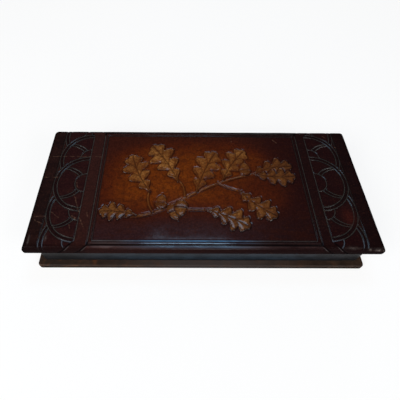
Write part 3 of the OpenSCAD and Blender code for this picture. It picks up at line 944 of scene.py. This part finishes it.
outer_line = m.times_plus(m.past(ax, strap_x), no_line, m.off(ay, outer_y))
side_line = m.times_plus(m.rest(inside_y), no_line, m.off(ax, frame_x))
end_line = m.times_plus(m.rest(inside_x), no_line, m.off(ay, frame_y))
faint = m.least(outer_line, m.off(ax, margin_x), side_line, end_line)
line = m.most(m.step(near, 0.15, 0.6, 1, 0), m.step(faint, 0.15, 0.6, 0.35, 0))
# painted shade in the hollows beside the pressed lines
painted_groove_shade = m.most(m.step(near, 0.5, 1.8, 0.45, 0), m.step(faint, 0.4, 1.8, 0.6, 0))

# The regions of the lid: how far past the flat top, the front, the left, the front roll and the
# strap's folds on it, where highlights are painted on the front, and where they are painted cool bluish in the
# middle.
over = m.most(m.minus(side_x, flat_x / mm), m.minus(ay, flat_y / mm))
in_front = m.step(y, -40, -60)
at_left = m.step(x, -60, 90, 1, 0)
on_roll = m.step(ay, splay_y, splay_y + 2)
folded = m.times(on_roll, m.step(strap_lines, 1.0, 1.6, 1, 0))
lit = m.times(m.step(x, -108, -98), in_front, m.step(x, 20, 85, 1, 0.2), m.step(ax, strap_x - 1, strap_x, 1, 0))
cool = m.step(m.off(x, -10), 25, 75, 1, 0)

# The dyes: amber padded into the panel's middle, red-browns round it and in the border, and tan on
# the raised spray, whose amount carries painted light.
cloudy = m.cloud(skin, 24, 5, 0.62, 0.6)
streaks = m.cloud(m.vector("MULTIPLY", skin, (0.35, 1, 1)), 9, 4, 0.6, 1.2)
fine = m.cloud(skin, 4.5, 4, 0.7)
speckle = m.cloud(skin, 1.7, 2, 0.6)
amber = 0.0
for *patch, amount in ((-52, 20, 44, 26, 0.95), (-66, -14, 38, 24, 0.85), (2, 18, 52, 34, 0.8),
                       (-20, -12, 40, 20, 0.4), (38, -24, 40, 18, 0.5), (46, 26, 36, 22, 0.5),
                       (78, -6, 24, 26, 0.2)):
    amber = m.times_plus(soft_patch(m, skin, *patch), amount, amber)
amber = m.times(amber, m.times_plus(cloudy, 0.9, m.times_plus(streaks, 0.8, 0.05)))
ground = m.dyed(
    tint(52, 21, 14),
    (m.step(x, 40, 105), (34, 13, 13)),
    (m.step(y, -28, -60), m.blend(m.step(x, 20, 100), tint(44, 25, 27), tint(28, 15, 17))),
    (m.step(amber, 0.08, 0.5), (73, 27, 9)),
    (m.step(amber, 0.4, 1.1), (102, 45, 9)),
    (m.times(m.step(streaks, 0.32, 0.5, 0.35, 0), m.step(amber, 0.2, 0.7)), (122, 61, 13)),
    (m.step(streaks, 0.5, 0.68, 0, 0.45), (52, 21, 11)),
    (m.step(fine, 0.42, 0.66, 0, 0.5), (38, 15, 10)),
    (m.step(x, 35, 100, 0, 0.4), (30, 9, 9)))
border = m.dyed(
    tint(28, 12, 12),
    (at_left, (48, 24, 21)),
    (in_ring, m.blend(at_left, tint(29, 10, 11), tint(37, 15, 16))),
    (m.past(ax, margin_x), m.blend(at_left, tint(20, 8, 9), tint(27, 15, 14))),
    (m.step(streaks, 0.4, 0.7, 0, 0.35), m.blend(at_left, tint(40, 18, 15), tint(56, 31, 26))),
    (m.step(fine, 0.35, 0.7, 0.3, 0), (16, 7, 8)),
    (m.times(between, 0.6), (16, 8, 9)))
tanned = m.dyed(
    tint(104, 61, 26),
    (m.step(m.cloud(skin, 2.2, 4, 0.7, 0.8), 0.35, 0.65), (156, 106, 54)),
    (m.step(cloudy, 0.42, 0.62, 0.6, 0), (80, 43, 18)),
    (m.step(x, 20, 95, 0, 0.6), (86, 46, 22)))

# The wear: polished lines, rubbed edges, scratches and the grain; and painted highlights at the front corners.
polish = m.times(line, m.step(m.cloud(skin, 5, 3, 0.6), 0.25, 0.6, 0.55, 1), m.rest(folded))
rubbed = rubbed_by_use(m, place, lid_low, lid_high, 3.4)
marks = scratched(m, skin, [
    ((-127, 0), (-126, -5), 0.6), ((-127, -14), (-121, -28), 0.6), ((-121, -28), (-119, -33), 0.6),
    ((-118, -38), (-112, -48), 0.7), ((-145, -33), (-137, -39), 0.55), ((-126, -46), (-124.5, -50), 0.7),
    ((-111, -33), (-110, -38), 0.7), ((-125, -37), (-121, -40), 1.0), ((-160, -38), (-150, -37.5), 0.6),
    ((-160, -41), (-152, -45), 0.7), ((-165, 32.5), (-106, 32.5), 0.45), ((-167, 6), (-147, 6), 0.5),
    ((34.5, 60), (35.5, 54), 0.6), ((82, 57), (85, 53), 0.7), ((142, 60), (139, 63), 0.6),
    ((148, 50), (150, 46), 0.6), ((-20, -72), (-24, -77), 0.6), ((60, -75), (71, -77), 0.5)])
# painted highlights: soft light spots on the rolled front corners
painted_corner_highlights = 0.0
for *patch, amount in ((-159.5, -61, 0.8, 3.5, 0.7), (-144.5, -59.5, 1, 2, 0.6), (134, -68, 6, 1.6, 0.5),
                       (150.5, -69.5, 1.5, 1.5, 0.9), (158, -69.8, 4.5, 1.3, 1.2), (163.5, -69.5, 1.5, 2, 1.2)):
    painted_corner_highlights = m.most(painted_corner_highlights, m.times(soft_patch(m, skin, *patch), amount))
painted_corner_highlights = m.times(painted_corner_highlights, m.step(fine, 0.4, 0.6, 0.25, 0.75))
grain = m.effect(calf_grain, Place=skin, Size=0.7)

# Painted shade and painted highlights on the front roll, painted shade in its creases and on the other rolls,
# painted glints on the lines, and the dull turned-in leather below.
# painted shade on the front roll outside the strap
painted_roll_shade = m.times(m.step(ax, strap_x, strap_x + 3), m.step(over, -1, 2), in_front)
# painted highlight along the front roll, bluish in the middle
roll = m.times(m.step(over, 0.8, 1.8), m.step(over, 2.5, 4.0, 1, 0), lit, m.step(streaks, 0.35, 0.65, 0.4, 0.9))
# painted glints on the front lines, and on the ring lines over the roll
groove_light = m.times(m.step(m.off(ay, 63.8), 0.2, 0.8, 0.6, 0), m.step(cool, 0, 1, 1, 0.35))
groove_light = m.most(m.step(end_line, 0.3, 1.0, 0.95, 0), groove_light)
groove_light = m.times(groove_light, lit, m.step(streaks, 0.35, 0.6, 0.6, 1))
ring_light = m.times(line, m.step(y, -59, -61.5), m.step(over, 1.5, 4, 0.9, 0), m.rest(folded),
                     m.past(ax, strap_edge))
# painted shade in the strap's folds and along the outer line over the roll
painted_crease_shade = m.most(m.times(m.step(strap_lines, 0.5, 1.3, 0.9, 0), on_roll),
                 m.times(m.step(outer_line, 0.35, 1.0, 0.9, 0), m.step(cool, 0, 1, 1, 0.5)))
# painted glint beside each fold of the strap
painted_lip_glint = m.least(m.off(ax, m.minus(strap_edge, 1.5)), m.off(ax, m.minus(panel_edge, 1.5)))
painted_lip_glint = m.times(m.step(painted_lip_glint, 0.2, 0.8, 0.8, 0), in_front, m.step(over, 1, 3), m.step(over, 6, 7.5, 1, 0))
# where the side and back rolls get painted shade
turned = m.most(m.rest(in_front), m.minus(m.step(m.minus(side_x, flat_x / mm), 1.5, 2.5), painted_corner_highlights))
bx, by, bz = m.axes(place)
below = m.step(bz, 42.5, 42.7, 1, 0)
mitre = m.off(m.minus(m.size_of(bx), m.size_of(by)), (lid_high.x - lid_high.y) / mm)
mitre = m.times(m.step(mitre, 0.15, 0.5, 1, 0), below)

m.feed(shader["Base Color"], m.dyed(
    m.blend(in_panel, border, ground),
    # the spray's tan with its painted light, then its dark veins and outlines with painted shade
    (m.times(tan, m.times_plus(cloudy, 0.5, 0.65)), tanned),
    (m.times(dark, 0.9), (13, 7, 7)),
    (painted_groove_shade, (11, 6, 6)),
    (m.times(polish, m.step(at_left, 0, 1, 0.72, 0.85)), (58, 57, 54)),
    (m.times(rubbed, 0.2), (92, 62, 46)),
    (m.times(marks, 0.5), (112, 82, 64)),
    (m.times(soft_patch(m, skin, 140, -37, 6, 8), 0.55), (62, 22, 16)),
    (painted_corner_highlights, (112, 102, 96)),
    (m.times(grain["Crease"], 0.25), (12, 7, 7)),
    (m.step(speckle, 0.42, 0.65, 0, 0.32), (14, 6, 7)),
    (m.step(speckle, 0.3, 0.42, 0.1, 0), (98, 56, 36)),
    (m.times(painted_roll_shade, m.minus(0.6, painted_corner_highlights)), (15, 7, 7)),
    (roll, m.blend(cool, tint(72, 59, 59), tint(64, 78, 94))),
    # painted shade: the lower front roll and the front face darker
    (m.times(m.step(over, 2.4, 5, 0, 0.6), m.rest(painted_corner_highlights)), (18, 10, 11)),
    (groove_light, m.blend(cool, tint(66, 62, 63), tint(60, 96, 126))),
    (ring_light, (62, 68, 77)),
    (painted_crease_shade, (8, 5, 6)),
    (painted_lip_glint, (56, 49, 48)),
    # painted shade on the side and back rolls
    (m.times(m.step(over, 0, 4, 0, 0.75), turned), (12, 8, 8)),
    (below, m.blend(m.step(m.cloud(place, 10, 4), 0.35, 0.7), tint(30, 17, 15), tint(46, 27, 22))),
    (m.times(mitre, 0.8), (8, 5, 5))))
gloss = m.step(fine, 0.3, 0.75, 0.36, 0.5)
m.feed(shader["Roughness"], m.times_plus(marks, 0.2, m.times_plus(dark, 0.1, gloss)))
shine = m.times(m.step(fine, 0.3, 0.7, 0.35, 0.12), m.times_plus(line, -0.5, 1),
                m.step(over, -1.2, 0.8, 1, 0.12), m.step(y, -46, -56, 1, 0.45))
buffed = m.times(m.step(y, -61, -63), m.step(over, 2.5, 5, 1, 0), m.step(m.off(x, -12), 30, 90, 1, 0),
                 m.step(fine, 0.35, 0.65, 0.95, 0.4))
m.feed(shader["Coat Weight"], m.most(shine, buffed))
m.feed(shader["Normal"], m.bump(mitre, -0.4, m.bump(grain["Height"], 0.045, m.bump(m.cloud(skin, 8, 3), 0.3))))
lid_skin.data.materials.append(material)
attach(lid_skin, "lid")
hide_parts("lid_leather")


# A card covered in the same watered cloth is glued under the lid. It hides the turned-in leather
# and drops into the tray.
line_with_cloth("lid_card", "lid_lining", cloth_finish("lid_cloth"), "lid", 0, 1, 0.7 * mm)


# Two small butt hinges of cast brass join the lid to the back wall. The leaves of each are let in
# and turn on a drawn brass pin.
def brass_finish(name, bright, dull, shine):
    material, m, shader = start_finish(name, Metallic=1.0)
    place = m.object_place()
    tarnish = m.step(m.cloud(place, 3.2, 5, 0.7), 0.38, 0.7)
    colour = m.blend(tarnish, tint(*bright), tint(*dull))
    specks = m.step(m.cloud(place, 0.6, 3, 0.7), 0.6, 0.75, 0, 0.6)
    m.feed(shader["Base Color"], m.blend(specks, colour, tint(92, 66, 36)))
    brushed = m.cloud(m.vector("MULTIPLY", place, (0.05, 1, 1)), 0.15, 2)
    m.feed(shader["Roughness"], m.calc("ADD", m.step(tarnish, 0, 1, shine, shine + 0.22),
                                       m.times(brushed, 0.08)))
    m.feed(shader["Normal"], m.bump(brushed, 0.01))
    return material


brass = brass_finish("hinge_brass", (206, 172, 108), (150, 116, 64), 0.26)
for side in ("left", "right"):
    paint_node(side + "_hinge_wall_leaf", brass)
    paint_node(side + "_hinge_lid_leaf", brass)
pin_brass = brass_finish("pin_brass", (196, 160, 96), (140, 106, 58), 0.22)
paint_node("left_hinge_pin", pin_brass)
paint_node("right_hinge_pin", pin_brass)


# Turned brass wood screws hold the hinge leaves, two to a leaf. Their countersunk heads are slotted
# and lie in the leaf.
screw_brass = brass_finish("screw_brass", (214, 182, 120), (158, 122, 70), 0.24)
paint_node("wall_leaf_screws", screw_brass)
paint_node("lid_leaf_screws", screw_brass)


# The studio has a pale paper floor, large soft lamps all round, a small bluish one above, and the
# camera. The floor lies a hair above the underside, so that a lamp below it can show the felt.
bpy.ops.object.select_all(action="DESELECT")
bpy.ops.mesh.primitive_plane_add(size=8, location=(0, 0, 0.1 * mm))
floor = bpy.context.active_object
floor.name = "studio_floor"
material = bpy.data.materials.new("floor_paper")
material.use_nodes = True
m = Mix(material.node_tree)
output = material.node_tree.nodes["Material Output"].inputs["Surface"]
rays = m.node("LightPath").node.outputs
shown = m.most(m.times(rays["Is Camera Ray"], 0.82), m.times(rays["Is Glossy Ray"], 0.3))
paper = m.node("BsdfDiffuse", tint(238, 238, 238))
glow = m.node("Emission", (1, 1, 1, 1), 1.0)
m.feed(output, m.node("MixShader", shown, paper, glow))
floor.data.materials.append(material)

world = bpy.data.worlds.new("studio")
world.use_nodes = True
bpy.context.scene.world = world
m = Mix(world.node_tree)
rays = m.node("LightPath").node.outputs
level = m.most(rays["Is Camera Ray"], 0.06)
m.feed(world.node_tree.nodes["Background"].inputs["Strength"], level)
world.node_tree.nodes["Background"].inputs["Color"].default_value = (1, 1, 1, 1)


def soft_lamp(name, place, aim, width, height, power, colour=(1, 1, 1)):
    bpy.ops.object.light_add(type="AREA", location=place)
    lamp = bpy.context.active_object
    lamp.name = lamp.data.name = name
    lamp.data.shape, lamp.data.size, lamp.data.size_y = "RECTANGLE", width, height
    lamp.data.energy, lamp.data.color = power, colour
    lamp.rotation_euler = (Vector(aim) - Vector(place)).to_track_quat("-Z", "Y").to_euler()


soft_lamp("left_lamp", (-0.95, -0.75, 1.1), (0, 0, 0.04), 0.8, 0.8, 21, (1.0, 0.98, 0.95))
soft_lamp("right_lamp", (0.95, -0.8, 1.0), (0, 0, 0.04), 0.6, 0.6, 10)
soft_lamp("front_lamp", (0.15, -1.6, 0.55), (0, 0, 0.03), 1.4, 0.4, 10)
soft_lamp("back_lamp", (0.2, 1.5, 0.45), (0, 0, 0.03), 1.2, 0.3, 8)
soft_lamp("low_lamp", (-0.5, -0.7, -1.2), (0, 0, 0), 1.0, 1.0, 24)
soft_lamp("cool_lamp", (0.01, 0.225, 1.0), (0, -0.065, 0.05), 0.3, 0.2, 2.1, (0.45, 0.73, 1.0))

looking_down, turned, tipped = math.radians(51.99), math.radians(-0.64), math.radians(0.83)
bpy.ops.object.camera_add()
camera = bpy.context.active_object
aim = Euler((math.pi / 2 - looking_down, 0, turned)).to_matrix() @ Matrix.Rotation(tipped, 3, "Z")
camera.location, camera.rotation_euler = (-0.0226, -0.18456, 0.3504), aim.to_euler()
camera.data.lens, camera.data.sensor_width = 30.8, 36
camera.data.shift_x, camera.data.shift_y = 0.045, -0.1371
camera.data.clip_start = 0.01
bpy.context.scene.camera = camera
bpy.context.scene.view_settings.view_transform = "Standard"
